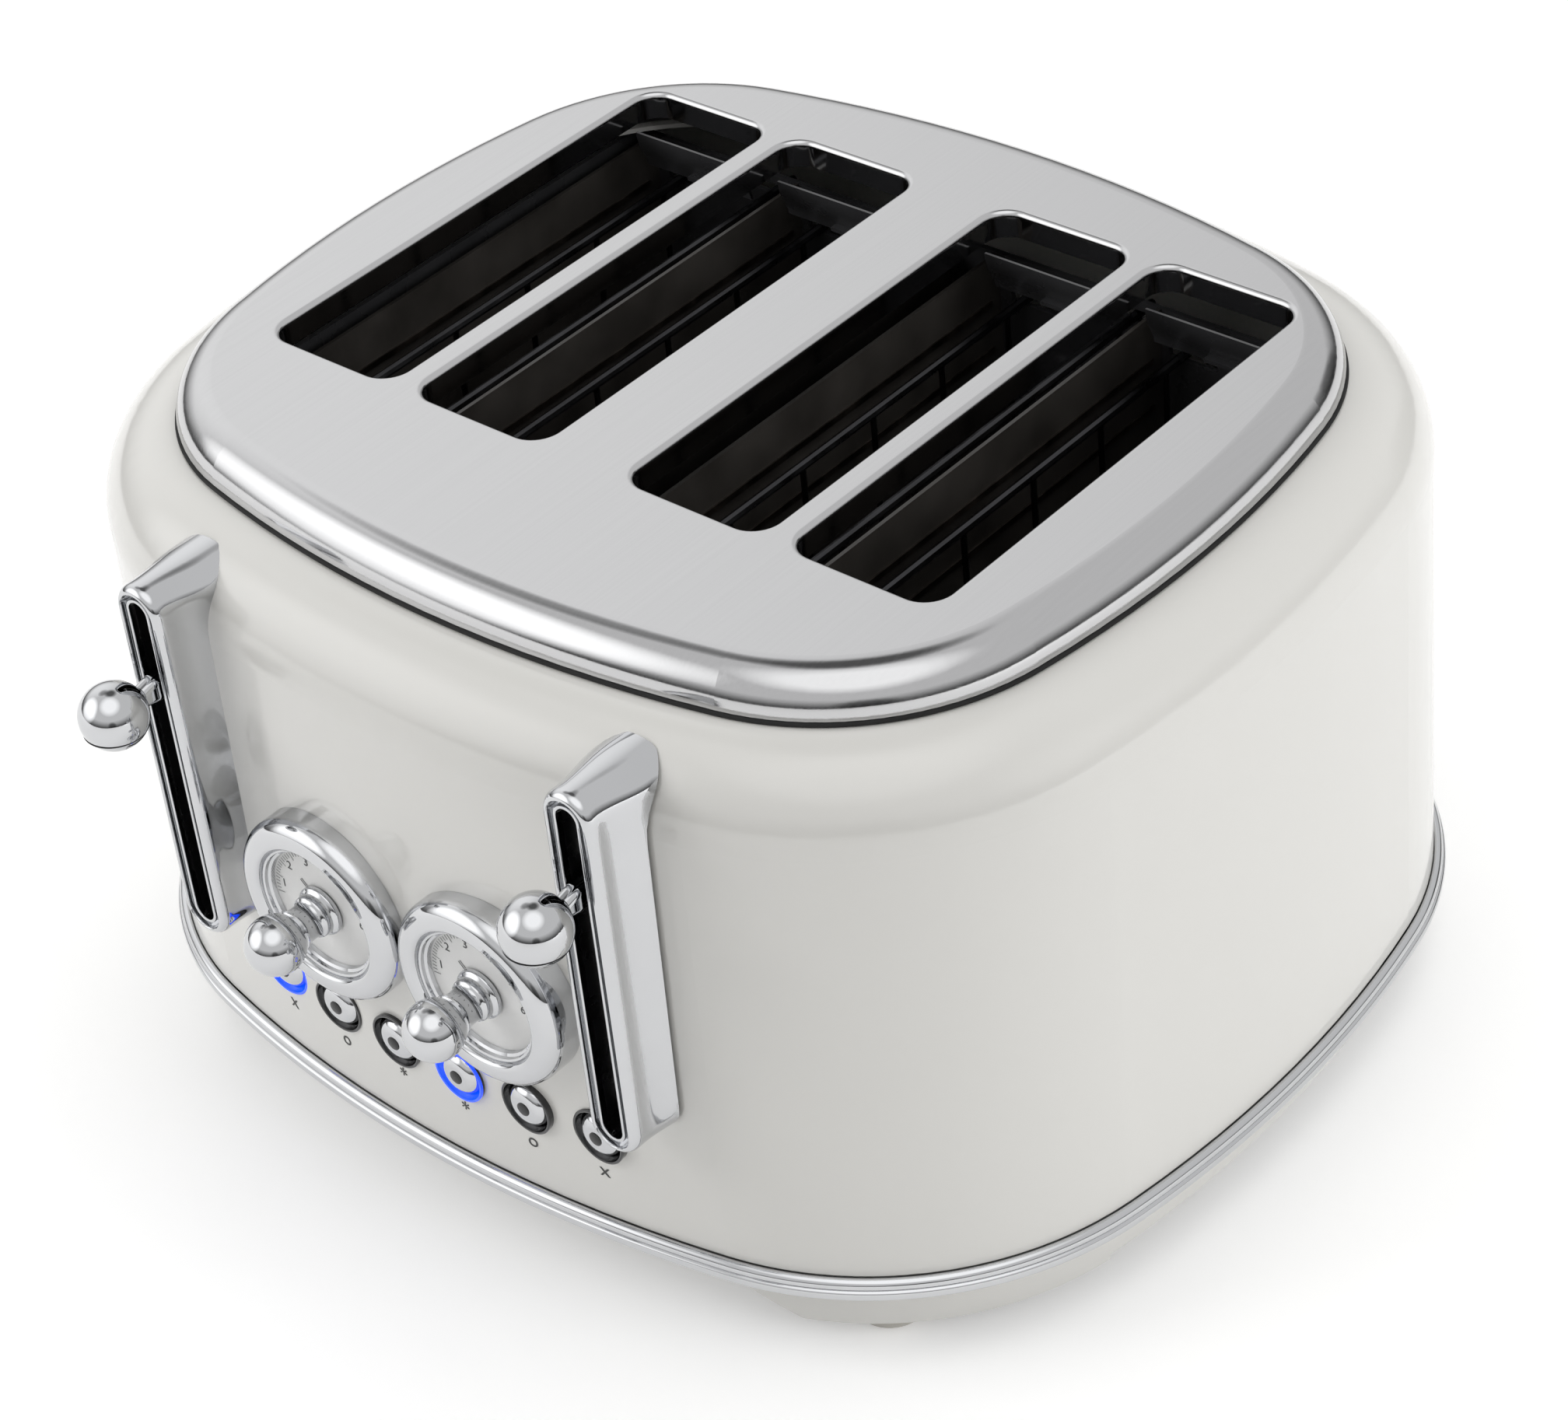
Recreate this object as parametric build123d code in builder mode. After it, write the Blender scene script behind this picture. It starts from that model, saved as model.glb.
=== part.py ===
from build123d import *
import os
from math import sqrt

# Pop up toaster: a rounded painted shell under a steel cap, with two pairs of bread slots.
# Each pair has its own lever, carriage, browning dial, buttons and crumb tray.
# Millimetres, +Z up, the controls face -Y, and the table is at z = 0.

os.makedirs("parts", exist_ok=True)

# Body outline at the foot of the shell: bowed sides joined by large round corners
half_width = 150.0
half_depth = 133.0
side_radius = 316.0
front_radius = 363.0
corner_radius = 84.0
# Heights above the table
foot_height = 5.5
ring_bottom = 20.0
ring_top = 25.0
seam_height = 163.3
cap_height = 10.0
floor_bottom = 13.5
# The shell's wall leans in on its way up, and rolls over to the seam in one round shoulder
seam_inset = 22.0
wall_lean = 2.0
shell_wall = 1.2
seam_flange = 8.0
# Trim ring, skirt and feet
ring_proud = 3.0
ring_round = 2.1
ring_under = 1.5
skirt_inset = 4.0
skirt_wall = 2.6
floor_sheet = 2.0
arch_half = 94.0
arch_rise = 7.0
arch_ramp = 13.0
side_arch_half = 60.0
side_arch_rise = 1.4
foot_radius = 9.0
foot_boss = 10.5
foot_bevel = 1.2
foot_x = 104.0
foot_y = 96.0
screw_head = 3.4
screw_shank = 1.6
screw_head_height = 2.0
# Cap
seam_gap = 1.2
cap_sheet = 1.4
cap_edge = 0.3
gasket_inset = 1.6
gasket_width = 4.0
# Bread slots, in two pairs
slot_width = 40.0
slot_length = 138.0
slot_corner = 6.5
slot_roll = 2.0
slot_edge = 1.5
slot_collar = 7.0
pair_centre = 56.4
slot_pitch = 47.5
slot_setback = 10.0
# Chassis round the bread bays
bay_margin = 4.0
sheet = 1.5
bay_top = 158.0
chassis_flange = 30.0
shield_gap = 12.0
board_gap = 5.0
board_sheet = 1.0
board_bottom = 52.0
ribbon_count = 7
ribbon_width = 1.6
ribbon_sheet = 0.4
tab_size = 10.0
# Bread guards
guard_wire = 1.2
guard_thin = 0.8
guard_bars = 6
guard_inset = 3.0
guard_close = 8.0
guard_bottom = 62.0
guard_top_a = 147.0
guard_top_b = 154.0
guard_tail = 5.0
link_height = 5.0
# Carriage, lever and what holds the carriage
drop = 62.5
lift = 18.0
rack_top = 118.0
rack_web = 10.0
rack_sheet = 1.6
rack_fingers = 6
finger_width = 14.0
finger_sheet = 2.0
finger_length = 5.0
neck_slot = 8.0
plate_setback = 12.0
plate_sheet = 2.0
plate_bottom = 106.0
plate_corner = 4.0
rod_radius = 3.0
hub_wall = 2.2
hub_height = 22.0
hub_below = 1.0
rod_ahead = 7.0
lever_x = 65.0
lever_height = 134.0
lever_face = 139.0
arm_width = 4.4
arm_height = 7.0
arm_corner = 1.8
lever_neck = 2.6
lever_pin = 2.0
lever_ball = 8.2
ball_out = 12.0
spring_radius = 4.0
spring_bore = 3.0
spring_aside = 18.0
magnet_width = 22.0
magnet_depth = 16.0
magnet_height = 20.0
coil_height = 13.0
coil_over = 3.0
keeper_sheet = 3.5
keeper_aside = 17.0
# Lever bezel
bezel_width = 14.0
bezel_bottom = 60.5
bezel_top = 161.5
bezel_edge = 2.2
bezel_flare = 3.5
bezel_reach = 15.0
groove_width = 10.0
groove_deep = 2.0
lip_wall = 0.9
lip_deep = 0.5
lever_slot_width = 5.6
lever_slot_bottom = 66.5
lever_slot_top = 157.0
# Dials, side by side
dial_gap = 1.4
dial_height = 84.5
dial_radius = 24.5
dial_inner = 17.6
dial_rim_out = 5.5
dial_round_out = 4.2
dial_round_in = 1.4
dial_face_sheet = 1.2
dial_face_sunk = 4.0
knob_base = 6.2
knob_base_sheet = 1.8
knob_step = 5.3
knob_step_sheet = 2.6
knob_neck = 4.5
knob_ball = 7.3
knob_out = 17.0
shaft_radius = 2.5
pot_radius = 8.5
pot_depth = 8.0
# Buttons, in a row below the dials
button_count = 6
button_pitch = 20.2
button_gap = 2.6
button_ring = 7.4
button_bore = 6.8
button_radius = 5.8
button_round = 3.0
button_stem = 2.2
button_press = 2.0
button_proud = 1.2
button_lip = 0.5
button_deep = 5.0
glow_wall = 0.7
glow_sunk = 0.6
switch_size = 6.0
switch_depth = 2.4
# Control board
board_back = 110.0
circuit_sheet = 1.6
circuit_half = 52.0
circuit_bottom = 38.0
circuit_top = 110.0
post_width = 8.0
post_top = 62.0
# Crumb trays and the cord's inlet
tray_bottom = 27.3
tray_wall = 8.0
tray_sheet = 1.0
tray_half = 45.0
tray_pull = 1.4
tray_grip = 4.0
rail_width = 4.0
inlet_height = 44.0
inlet_radius = 7.0
inlet_bore = 3.6
inlet_flange = 10.0
inlet_sheet = 3.0
# Clearances
running = 0.06
slide_gap = 0.3
free_gap = 0.6
swing_gap = 1.0

# Places worked out from the sizes above
ball_reach = lever_face + ball_out + lever_ball
body_y = (ball_reach - (half_depth + ring_proud)) / 2
slot_y = body_y + slot_setback
cap_bottom = seam_height + seam_gap
cap_top = cap_bottom + cap_height
cap_round = cap_height - cap_edge
cap_hollow = cap_round - gasket_inset - gasket_width
shoulder_radius = seam_inset - wall_lean
floor_top = floor_bottom + floor_sheet
bay_half = slot_length / 2 + bay_margin
front_plate_y = slot_y - bay_half
rear_plate_y = slot_y + bay_half
plate_y = front_plate_y - sheet - plate_setback
rod_y = plate_y - plate_sheet - rod_ahead
circuit_y = body_y - board_back
shield_x = pair_centre + slot_pitch / 2 + slot_width / 2 + shield_gap
guard_x = slot_width / 2 - guard_inset
guard_ratio = guard_close / drop
guard_open = guard_ratio * lift
slot_centres = (pair_centre - slot_pitch / 2, pair_centre + slot_pitch / 2)
board_out = slot_width / 2 + board_gap
heater_places = (slot_centres[0] - board_out, pair_centre, slot_centres[1] + board_out)
plate_top = lever_height + arm_height / 2
neck_length = ball_out - lever_ball
hub_bottom = plate_bottom - hub_below
web_bottom = rack_top - finger_sheet - rack_web
neck_low = web_bottom - drop - neck_slot / 2
neck_high = rack_top + lift + neck_slot / 2
keeper_bottom = floor_top + magnet_height + drop + free_gap
dial_x = dial_radius + dial_gap / 2
button_height = dial_height - dial_radius - button_gap - button_ring
button_places = [(number - (button_count - 1) / 2) * button_pitch for number in range(button_count)]
tray_top = tray_bottom + tray_wall
tab_x = shield_x - tab_size / 2
tab_rows = (front_plate_y - sheet - tab_size / 2, rear_plate_y - tab_size / 2)
screw_places = [(x, y) for x in (-tab_x, tab_x) for y in tab_rows]
flange_half = pair_centre + spring_aside + spring_radius + tab_size / 2
sides = ((-1, "left"), (1, "right"))


def bow_drop(x):
    """How far the bowed front or back falls away from its middle at this x."""
    return front_radius - sqrt(front_radius**2 - x**2)


def panel_y(x):
    """The y of the lower front panel's outer face at this x."""
    return body_y - half_depth + bow_drop(x)


def level(height):
    """The horizontal plane at this height, centred on the body."""
    return Plane((0, body_y, height))


def facing(x, y, z):
    """The upright plane at this point whose normal points forwards, out of the controls."""
    return Plane((x, y, z), x_dir=(1, 0, 0), z_dir=(0, -1, 0))


def body_outline(inset):
    """Draw the body's outline, where four large circles overlap, drawn in by the inset."""
    with Locations(Location((half_width - side_radius, 0, 0), (0, 0, 90))):
        Circle(side_radius - inset)
    with Locations((side_radius - half_width, 0)):
        Circle(side_radius - inset, mode=Mode.INTERSECT)
    with Locations((0, half_depth - front_radius)):
        Circle(front_radius - inset, mode=Mode.INTERSECT)
    with Locations((0, front_radius - half_depth)):
        Circle(front_radius - inset, mode=Mode.INTERSECT)
    fillet(vertices(), corner_radius - inset)


def body_form(builder, extra):
    """Make the shell's outer form in this builder, drawn in all round by a further extra distance."""
    sections = []
    for height, inset in ((ring_top, 0), (seam_height - extra, wall_lean)):
        with BuildSketch(level(height)) as section:
            body_outline(inset + extra)
        sections.append(section.sketch)
    loft(sections)
    fillet(builder.faces().sort_by(Axis.Z)[-1].edges(), shoulder_radius - extra)


def outline_band(outer, inner):
    """Draw the closed band between two insets of the body's outline, in the sketch being made."""
    body_outline(outer)
    with BuildSketch(mode=Mode.PRIVATE) as hole:
        body_outline(inner)
    add(hole.sketch, mode=Mode.SUBTRACT)


def save(builder, name):
    """Label a finished sub-part and write its file."""
    builder.part.label = name
    export_step(builder.part, f"parts/{name}.step")


with BuildPart() as body_solid:
    body_form(body_solid, 0)

# Painted shell with an inward flange at the seam, and openings for the controls and crumb trays
with BuildPart() as body_inside:
    body_form(body_inside, shell_wall)

with BuildPart() as body_shell:
    add(body_solid.part)
    add(body_inside.part, mode=Mode.SUBTRACT)
    with BuildSketch(level(seam_height)):
        body_outline(seam_inset + seam_flange)
    extrude(amount=-2 * shell_wall, mode=Mode.SUBTRACT)
    for side, hand in sides:
        with BuildSketch(facing(side * lever_x, front_plate_y, 0)):
            with Locations((0, (lever_slot_bottom + lever_slot_top) / 2)):
                Rectangle(lever_slot_width, lever_slot_top - lever_slot_bottom)
        extrude(amount=half_depth, mode=Mode.SUBTRACT)
        with BuildSketch(facing(side * dial_x, front_plate_y, dial_height)):
            Circle(shaft_radius + free_gap)
        extrude(amount=half_depth, mode=Mode.SUBTRACT)
        with BuildSketch(facing(side * pair_centre, rear_plate_y, tray_bottom)):
            with Locations((0, tray_wall / 2)):
                Rectangle(2 * (tray_half + free_gap), tray_wall + 2 * free_gap)
        extrude(amount=-half_depth, mode=Mode.SUBTRACT)
    for x in button_places:
        with BuildSketch(facing(x, front_plate_y, button_height)):
            Circle(button_ring)
        extrude(amount=half_depth, mode=Mode.SUBTRACT)
    with BuildSketch(facing(0, rear_plate_y, inlet_height)):
        Circle(inlet_radius)
    extrude(amount=-half_depth, mode=Mode.SUBTRACT)
save(body_shell, "body_shell")

# Chrome ring that the shell stands on
with BuildPart() as trim_ring:
    with BuildSketch(level(ring_bottom)):
        outline_band(-ring_proud, skirt_inset)
    extrude(amount=ring_top - ring_bottom)
    fillet(trim_ring.faces().sort_by(Axis.Z)[-1].outer_wire().edges(), ring_round)
    fillet(trim_ring.faces().sort_by(Axis.Z)[0].outer_wire().edges(), ring_under)
save(trim_ring, "trim_ring")

# Base: skirt with arched cut-outs, floor, foot bosses, tray rails, rod sockets and board posts
with BuildPart() as base_pan:
    with BuildSketch(level(foot_height)):
        outline_band(skirt_inset, skirt_inset + skirt_wall)
    extrude(amount=ring_top - foot_height)
    with BuildSketch(Plane((0, body_y, foot_height), x_dir=(1, 0, 0), z_dir=(0, -1, 0))):
        with BuildLine():
            Polyline(
                (-arch_half, 0),
                (-arch_half + arch_ramp, arch_rise),
                (arch_half - arch_ramp, arch_rise),
                (arch_half, 0),
                close=True,
            )
        make_face()
    extrude(amount=half_depth, both=True, mode=Mode.SUBTRACT)
    with BuildSketch(Plane((0, body_y, foot_height), x_dir=(0, 1, 0), z_dir=(1, 0, 0))):
        with Locations((0, side_arch_rise / 2)):
            Rectangle(2 * side_arch_half, side_arch_rise)
    extrude(amount=half_width, both=True, mode=Mode.SUBTRACT)
    with BuildSketch(level(floor_bottom)):
        body_outline(skirt_inset + skirt_wall / 2)
    extrude(amount=floor_sheet)
    with BuildSketch(level(foot_height)):
        with GridLocations(2 * foot_x, 2 * foot_y, 2, 2):
            Circle(foot_boss)
    extrude(amount=floor_bottom - foot_height)
    with BuildSketch(Plane((0, slot_y, floor_top))):
        for side, hand in sides:
            for edge in (-1, 1):
                with Locations((side * pair_centre + edge * (tray_half - rail_width), 0)):
                    Rectangle(rail_width, 2 * bay_half)
    extrude(amount=tray_bottom - slide_gap - floor_top)
    with BuildSketch(Plane((0, rod_y, floor_top))):
        with Locations((-pair_centre, 0), (pair_centre, 0)):
            Circle(rod_radius + hub_wall)
    extrude(amount=rod_radius * 2)
    with BuildSketch(Plane((0, circuit_y + post_width / 2, floor_top))):
        with Locations((-circuit_half + post_width, 0), (circuit_half - post_width, 0)):
            Rectangle(post_width, post_width)
    extrude(amount=post_top - floor_top)
    with BuildSketch(Plane((0, rod_y, floor_top))):
        with Locations((-pair_centre, 0), (pair_centre, 0)):
            Circle(rod_radius)
    extrude(amount=rod_radius * 2, mode=Mode.SUBTRACT)
    with BuildSketch(Plane((0, slot_y, floor_bottom))):
        with GridLocations(2 * pair_centre, slot_length / 4, 2, 3):
            SlotOverall(tray_half, rail_width)
    extrude(amount=floor_sheet, mode=Mode.SUBTRACT)
    with BuildSketch(Plane.XY.offset(floor_bottom)):
        with Locations(screw_places):
            Circle(screw_shank)
    extrude(amount=floor_sheet, mode=Mode.SUBTRACT)
save(base_pan, "base_pan")

# Rubber feet under the bosses
with BuildPart() as feet:
    with BuildSketch(level(0)):
        with GridLocations(2 * foot_x, 2 * foot_y, 2, 2):
            Circle(foot_radius)
    extrude(amount=foot_height)
    chamfer(feet.edges().group_by(Axis.Z)[0], foot_bevel)
save(feet, "feet")

# Screws that hold the chassis tabs down on the floor
with BuildPart() as base_screws:
    with BuildSketch(Plane.XY.offset(floor_bottom)):
        with Locations(screw_places):
            Circle(screw_head)
    extrude(amount=-screw_head_height)
    with BuildSketch(Plane.XY.offset(floor_bottom)):
        with Locations(screw_places):
            Circle(screw_shank)
    extrude(amount=floor_sheet + sheet)
save(base_screws, "base_screws")

# Dark gasket in the seam between shell and cap
with BuildPart() as seam_gasket:
    with BuildSketch(level(seam_height)):
        outline_band(seam_inset + gasket_inset, seam_inset + gasket_inset + gasket_width)
    extrude(amount=seam_gap)
save(seam_gasket, "seam_gasket")

# Steel cap: a shallow lid with a rounded rim and rolled slot edges
with BuildPart() as cap_inside:
    with BuildSketch(level(cap_bottom)):
        body_outline(seam_inset + gasket_inset + gasket_width)
    extrude(amount=cap_height - cap_sheet)
    fillet(cap_inside.faces().sort_by(Axis.Z)[-1].edges(), cap_hollow)

with BuildPart() as top_cap:
    with BuildSketch(level(cap_bottom)):
        body_outline(seam_inset)
    extrude(amount=cap_height)
    fillet(top_cap.faces().sort_by(Axis.Z)[-1].edges(), cap_round)
    add(cap_inside.part, mode=Mode.SUBTRACT)
    with BuildSketch(Plane((0, slot_y, cap_top - cap_sheet))):
        for side, hand in sides:
            for centre in slot_centres:
                with Locations((side * centre, 0)):
                    RectangleRounded(
                        slot_width + 2 * slot_roll, slot_length + 2 * slot_roll, slot_corner + slot_roll
                    )
    extrude(amount=cap_sheet - slot_collar)
    with BuildSketch(Plane((0, slot_y, cap_top))):
        for side, hand in sides:
            for centre in slot_centres:
                with Locations((side * centre, 0)):
                    RectangleRounded(slot_width, slot_length, slot_corner)
    extrude(amount=-slot_collar, mode=Mode.SUBTRACT)
    for hole in top_cap.faces().sort_by(Axis.Z)[-1].inner_wires():
        fillet(hole.edges(), slot_edge)
save(top_cap, "top_cap")


def chassis_plate(y, forwards):
    """Make an end plate of the bread bays; forwards is -1 at the front and 1 at the back."""
    outward = forwards * sheet
    with BuildSketch(facing(0, y, 0)) as wall:
        with Locations((0, (floor_top + bay_top) / 2)):
            Rectangle(2 * shield_x, bay_top - floor_top)
        for side, hand in sides:
            for centre in slot_centres:
                if forwards < 0:
                    with Locations((side * centre, (neck_low + neck_high) / 2)):
                        SlotOverall(neck_high - neck_low, neck_slot, 90, mode=Mode.SUBTRACT)
                for guard, height in ((-1, guard_top_a), (1, guard_top_b)):
                    middle = guard_x - (guard_close - guard_open) / 2
                    run = guard_close + guard_open + 2 * (guard_wire + free_gap)
                    with Locations((side * centre + guard * middle, height)):
                        Rectangle(run, 2 * (guard_wire + slide_gap), mode=Mode.SUBTRACT)
                    with Locations((side * centre + guard * middle, guard_bottom)):
                        Rectangle(run, 2 * (guard_wire + slide_gap), mode=Mode.SUBTRACT)
            if forwards > 0:
                with Locations((side * pair_centre, (floor_top + tray_top + free_gap) / 2)):
                    Rectangle(
                        2 * (tray_half + free_gap), tray_top + free_gap - floor_top, mode=Mode.SUBTRACT
                    )
    extrude(wall.sketch, amount=-outward)
    with BuildSketch(Plane((0, y + min(outward, 0) - tab_size / 2, floor_top))) as tabs:
        with Locations((-tab_x, 0), (tab_x, 0)):
            Rectangle(tab_size, tab_size)
            Circle(screw_shank, mode=Mode.SUBTRACT)
    extrude(tabs.sketch, amount=sheet)


# End plates of the bread bays; the front one is folded forwards to carry the guide rods
with BuildPart() as front_plate:
    chassis_plate(front_plate_y, -1)
    with BuildSketch(Plane((0, front_plate_y - sheet - chassis_flange / 2, bay_top - sheet))):
        Rectangle(2 * flange_half, chassis_flange)
        with Locations((-pair_centre, rod_y - front_plate_y + sheet + chassis_flange / 2)):
            Circle(rod_radius, mode=Mode.SUBTRACT)
        with Locations((pair_centre, rod_y - front_plate_y + sheet + chassis_flange / 2)):
            Circle(rod_radius, mode=Mode.SUBTRACT)
    extrude(amount=sheet)
save(front_plate, "front_plate")

with BuildPart() as rear_plate:
    chassis_plate(rear_plate_y, 1)
save(rear_plate, "rear_plate")

for side, hand in sides:
    with BuildPart() as side_shield:
        with BuildSketch(Plane((side * (shield_x - sheet / 2), slot_y, tray_top + swing_gap))):
            Rectangle(sheet, 2 * bay_half)
        extrude(amount=bay_top - tray_top - swing_gap)
    save(side_shield, f"side_shield_{hand}")

# Heater boards, one on each side of every slot and one shared in the middle of each pair
for side, hand in sides:
    for number, place in enumerate(heater_places, start=1):
        with BuildPart() as heater_board:
            with BuildSketch(Plane((side * place, slot_y, board_bottom))):
                Rectangle(board_sheet, 2 * bay_half)
            extrude(amount=bay_top - board_bottom)
        save(heater_board, f"heater_board_{hand}_{number}")

# Flat heating ribbons on the faces that look at the bread
with BuildPart() as heater_ribbons:
    ribbon_pitch = (bay_top - board_bottom) / (ribbon_count + 1)
    for side, hand in sides:
        for number, place in enumerate(heater_places):
            for face in ((1,), (-1, 1), (-1,))[number]:
                out = face * (board_sheet + ribbon_sheet) / 2
                for row in range(1, ribbon_count + 1):
                    height = board_bottom + row * ribbon_pitch
                    with BuildSketch(Plane((side * (place + out), slot_y, height))):
                        Rectangle(ribbon_sheet, slot_length)
                    extrude(amount=ribbon_width)
save(heater_ribbons, "heater_ribbons")


def bread_guards(side, facing_in, top):
    """Make the wire guards on one side of both slots of a pair, with the link that joins them."""
    reach = bay_half + sheet + guard_tail
    places = [side * centre + facing_in * guard_x for centre in slot_centres]
    for place in places:
        for height in (guard_bottom, top):
            with BuildSketch(facing(place, slot_y + reach, height)) as rail:
                RegularPolygon(guard_wire, 8)
            extrude(rail.sketch, amount=2 * reach)
        for bar in range(guard_bars):
            along = (bar / (guard_bars - 1) - 0.5) * (slot_length - slot_corner)
            with BuildSketch(Plane((place, slot_y + along, guard_bottom))) as upright:
                RegularPolygon(guard_thin, 6)
            extrude(upright.sketch, amount=top - guard_bottom)
    link_x = (places[0] + places[1]) / 2
    with BuildSketch(facing(link_x, slot_y - reach + guard_tail / 2 + sheet, top)) as link:
        SlotOverall(abs(places[1] - places[0]) + link_height, link_height)
        with Locations((places[0] - link_x, 0), (places[1] - link_x, 0)):
            Circle(guard_wire + running, mode=Mode.SUBTRACT)
    extrude(link.sketch, amount=sheet)


# Two sets of guards to a pair, which close on the bread as the carriage goes down
for side, hand in sides:
    for facing_in, top, letter in ((-1, guard_top_a, "a"), (1, guard_top_b, "b")):
        with BuildPart() as guards:
            bread_guards(side, facing_in, top)
        save(guards, f"guards_{hand}_{letter}")

# Guide rods between the floor and the chassis flange
for side, hand in sides:
    with BuildPart() as guide_rod:
        with BuildSketch(Plane((side * pair_centre, rod_y, floor_top))):
            Circle(rod_radius)
        extrude(amount=bay_top + sheet - floor_top)
    save(guide_rod, f"guide_rod_{hand}")

# Carriages: a cross plate on a sliding hub, with the lever arm that leaves through the front
for side, hand in sides:
    with BuildPart() as carriage:
        with BuildSketch(facing(side * pair_centre, plate_y, 0)):
            with Locations((0, (plate_bottom + plate_top) / 2)):
                Rectangle(slot_pitch + finger_width / 2, plate_top - plate_bottom)
        extrude(amount=plate_sheet)
        fillet(carriage.edges().filter_by(Axis.Y), plate_corner)
        with BuildSketch(Plane((side * pair_centre, rod_y, hub_bottom))):
            Circle(rod_radius + running + hub_wall)
            with Locations((0, rod_ahead / 2)):
                Rectangle(rod_radius * 2, rod_ahead)
        extrude(amount=hub_height)
        with BuildSketch(Plane((side * pair_centre, rod_y, hub_bottom))):
            Circle(rod_radius + running)
        extrude(amount=hub_height, mode=Mode.SUBTRACT)
        with BuildSketch(facing(side * lever_x, plate_y - plate_sheet, lever_height)):
            RectangleRounded(arm_width, arm_height, arm_corner)
        extrude(amount=plate_y - plate_sheet - (body_y - lever_face))
        with BuildSketch(facing(side * lever_x, body_y - lever_face, lever_height)):
            RectangleRounded(arm_width, arm_height, arm_corner)
        with BuildSketch(facing(side * lever_x, body_y - lever_face - neck_length, lever_height)):
            RectangleRounded(arm_width, lever_neck * 2, arm_corner)
        loft()
        with BuildSketch(facing(side * lever_x, body_y - lever_face - neck_length, lever_height)):
            Circle(lever_pin)
        extrude(amount=lever_ball)
        with BuildSketch(facing(side * (pair_centre + spring_aside), plate_y - plate_sheet, plate_bottom)):
            with Locations((0, keeper_sheet / 2)):
                Rectangle(spring_radius * 2, keeper_sheet)
        extrude(amount=spring_radius * 2 + slide_gap)
    save(carriage, f"carriage_{hand}")

# Ball knobs on the lever arms
for side, hand in sides:
    with BuildPart() as lever_knob:
        with Locations((side * lever_x, body_y - lever_face - ball_out, lever_height)):
            Sphere(lever_ball)
        with BuildSketch(facing(side * lever_x, body_y - lever_face - neck_length, lever_height)):
            Circle(lever_pin)
        extrude(amount=lever_ball, mode=Mode.SUBTRACT)
    save(lever_knob, f"lever_knob_{hand}")

# Bread racks: a web with cross fingers in each slot, reaching back from the carriage plate
for side, hand in sides:
    with BuildPart() as bread_rack:
        web_length = slot_y + slot_length / 2 - plate_y
        for centre in slot_centres:
            with BuildSketch(Plane((side * centre, plate_y + web_length / 2, web_bottom))):
                Rectangle(rack_sheet, web_length)
            extrude(amount=rack_web)
            for finger in range(rack_fingers):
                along = (finger / (rack_fingers - 1) - 0.5) * (slot_length - slot_corner * 2)
                with BuildSketch(Plane((side * centre, slot_y + along, rack_top - finger_sheet))):
                    SlotOverall(finger_width, finger_length)
                extrude(amount=finger_sheet)
    save(bread_rack, f"bread_rack_{hand}")

# Return springs, hung from the chassis flange beside each guide rod
for side, hand in sides:
    with BuildPart() as return_spring:
        spring_y = plate_y - plate_sheet - spring_radius - slide_gap
        with BuildSketch(Plane((side * (pair_centre + spring_aside), spring_y, bay_top - sheet))):
            Circle(spring_radius)
            Circle(spring_bore, mode=Mode.SUBTRACT)
        extrude(amount=plate_bottom + keeper_sheet + slide_gap - bay_top + sheet)
    save(return_spring, f"return_spring_{hand}")

# Holding magnets on the floor, and the keepers under the carriages that they catch
for side, hand in sides:
    with BuildPart() as magnet:
        with BuildSketch(Plane((side * (pair_centre - keeper_aside), rod_y, floor_top))):
            Rectangle(magnet_width - 2 * coil_over, magnet_depth - 2 * coil_over)
        extrude(amount=magnet_height)
        with BuildSketch(Plane((side * (pair_centre - keeper_aside), rod_y, floor_top))):
            RectangleRounded(magnet_width, magnet_depth, coil_over)
        extrude(amount=coil_height)
    save(magnet, f"magnet_{hand}")

    with BuildPart() as keeper:
        with BuildSketch(Plane((side * (pair_centre - keeper_aside), rod_y, keeper_bottom))):
            Rectangle(magnet_width, magnet_depth)
        extrude(amount=keeper_sheet)
        arm_y = plate_y - plate_sheet - plate_sheet / 2
        with BuildSketch(Plane((side * (pair_centre - keeper_aside), arm_y, keeper_bottom))):
            Rectangle(magnet_width, plate_sheet)
        extrude(amount=plate_bottom + arm_height - keeper_bottom)
    save(keeper, f"keeper_{hand}")

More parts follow.
